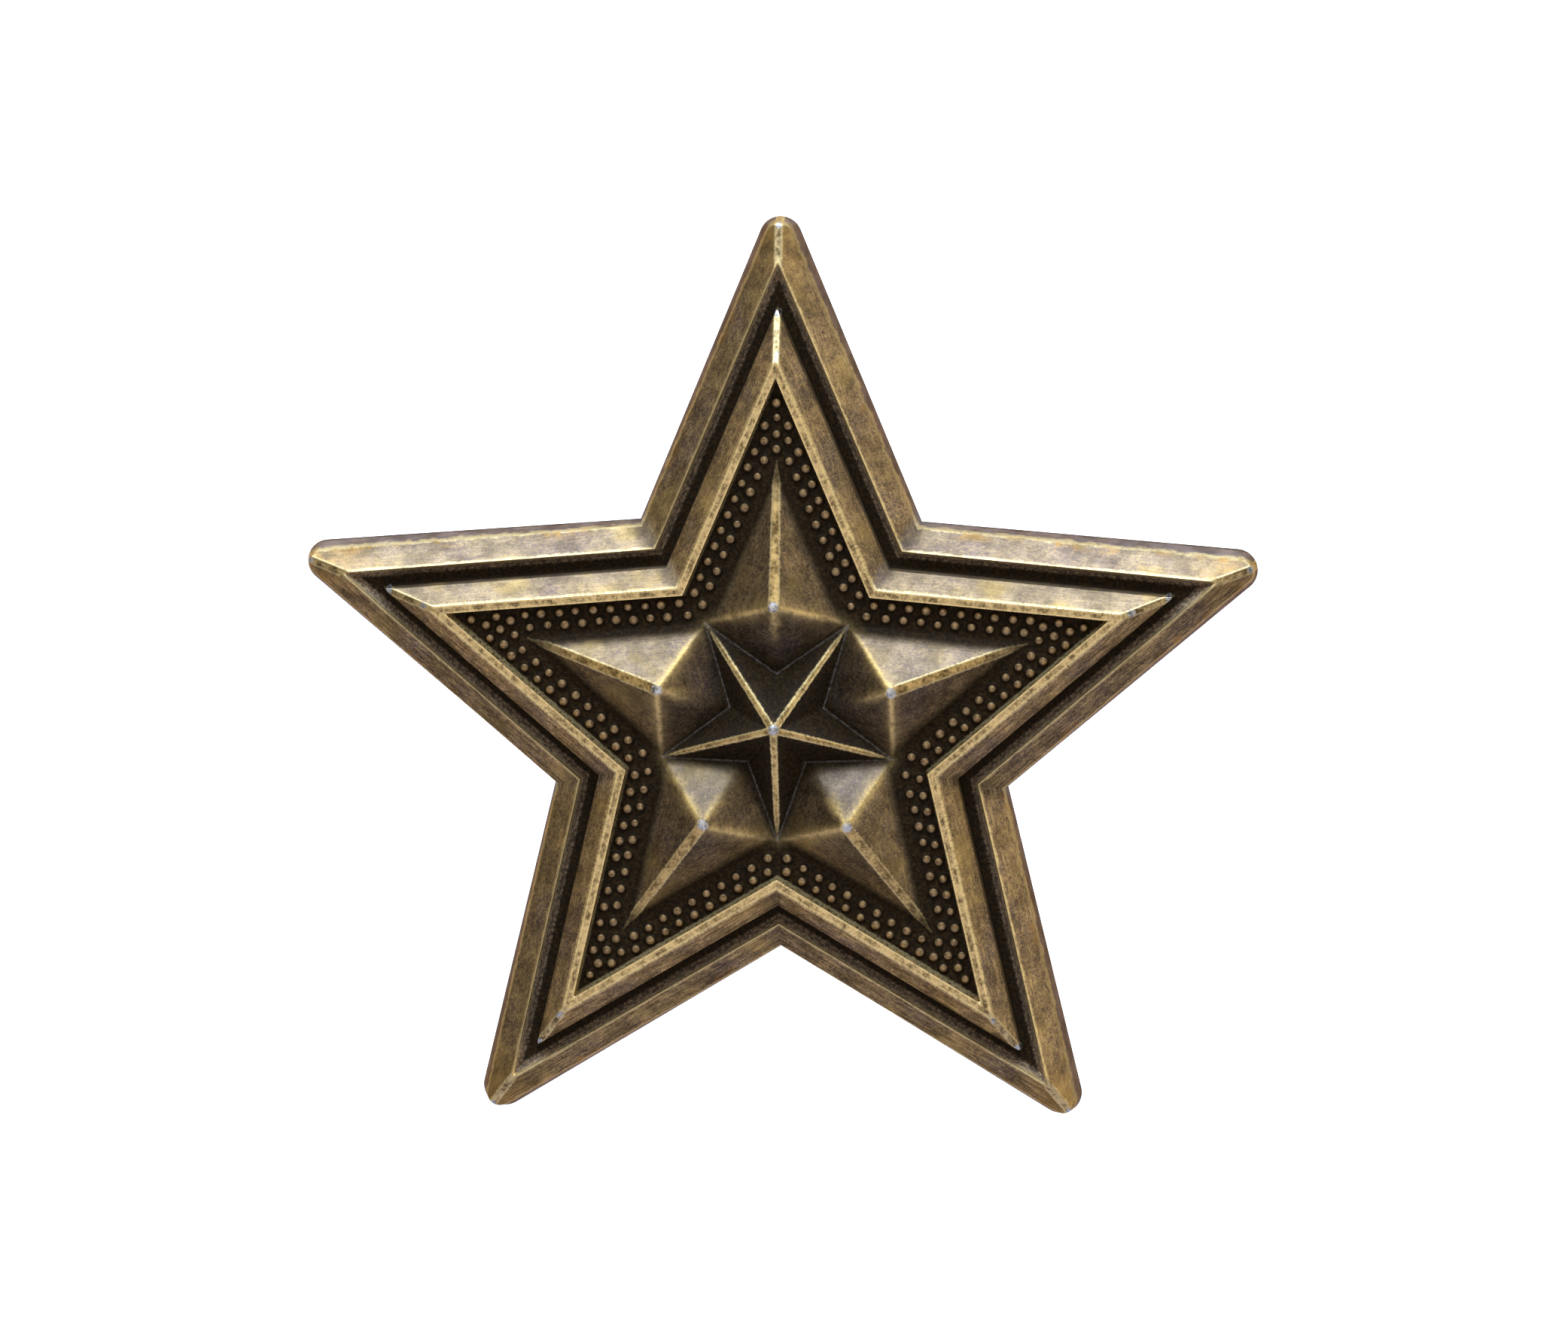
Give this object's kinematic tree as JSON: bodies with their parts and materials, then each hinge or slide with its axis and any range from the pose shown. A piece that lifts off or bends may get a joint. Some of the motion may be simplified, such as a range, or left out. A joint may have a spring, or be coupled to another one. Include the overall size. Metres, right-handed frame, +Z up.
{
  "type": "star badge pin",
  "caption": "Cast five-pointed star badge in worn antique brass, with stippled field and faceted centre, held by nail posts and butterfly clutches.",
  "frame": {"origin": "centre of the star on the plane of its back rim, on the flat central pad", "axes": "+Z up towards the star's top arm, -Y out of the face towards the viewer, +X to the viewer's right; the posts and clutches point along +Y"},
  "size_m": [0.04, 0.0131, 0.0382],
  "materials": {
    "antique_brass": "antiqued and tumbled: dark patina in the recesses, bright worn edges",
    "post_brass": "drawn wire, slightly dulled",
    "clutch_brass": "stamped sheet, satin",
    "spring_brass": "rolled spring strip, satin"
  },
  "bodies": {
    "badge": {"star_casting": "antique_brass", "left_post": "post_brass", "right_post": "post_brass"},
    "left_clutch": {"left_clutch_cup": "clutch_brass", "left_clutch_spring_seat": "spring_brass"},
    "left_inner_wing": {"left_clutch_inner_wing": "spring_brass"},
    "left_outer_wing": {"left_clutch_outer_wing": "spring_brass"},
    "right_clutch": {"right_clutch_cup": "clutch_brass", "right_clutch_spring_seat": "spring_brass"},
    "right_inner_wing": {"right_clutch_inner_wing": "spring_brass"},
    "right_outer_wing": {"right_clutch_outer_wing": "spring_brass"}
  },
  "joints": [
    {"name": "left_clutch_pull", "type": "slide", "parent": "badge", "child": "left_clutch", "axis": [0, 1, 0], "range_m": [0, 0.01]},
    {"name": "left_inner_wing_squeeze", "type": "hinge", "parent": "left_clutch", "child": "left_inner_wing", "pos_m": [-0.0099, 0.0018, 0.0018], "axis": [0, 0, 1], "range_deg": [0, 10], "stiffness_Nm_per_rad": 0.06, "springref_deg": -8.59},
    {"name": "left_outer_wing_squeeze", "type": "hinge", "parent": "left_clutch", "child": "left_outer_wing", "pos_m": [-0.0037, 0.0018, 0.0018], "axis": [0, 0, -1], "range_deg": [0, 10], "stiffness_Nm_per_rad": 0.06, "springref_deg": -8.59},
    {"name": "right_clutch_pull", "type": "slide", "parent": "badge", "child": "right_clutch", "axis": [0, 1, 0], "range_m": [0, 0.01]},
    {"name": "right_inner_wing_squeeze", "type": "hinge", "parent": "right_clutch", "child": "right_inner_wing", "pos_m": [0.0099, 0.0018, 0.0018], "axis": [0, 0, -1], "range_deg": [0, 10], "stiffness_Nm_per_rad": 0.06, "springref_deg": -8.59},
    {"name": "right_outer_wing_squeeze", "type": "hinge", "parent": "right_clutch", "child": "right_outer_wing", "pos_m": [0.0037, 0.0018, 0.0018], "axis": [0, 0, 1], "range_deg": [0, 10], "stiffness_Nm_per_rad": 0.06, "springref_deg": -8.59}
  ],
  "couplings": [
    {"joint": "left_outer_wing_squeeze", "follows": "left_inner_wing_squeeze", "ratio": 1},
    {"joint": "right_outer_wing_squeeze", "follows": "right_inner_wing_squeeze", "ratio": 1}
  ]
}
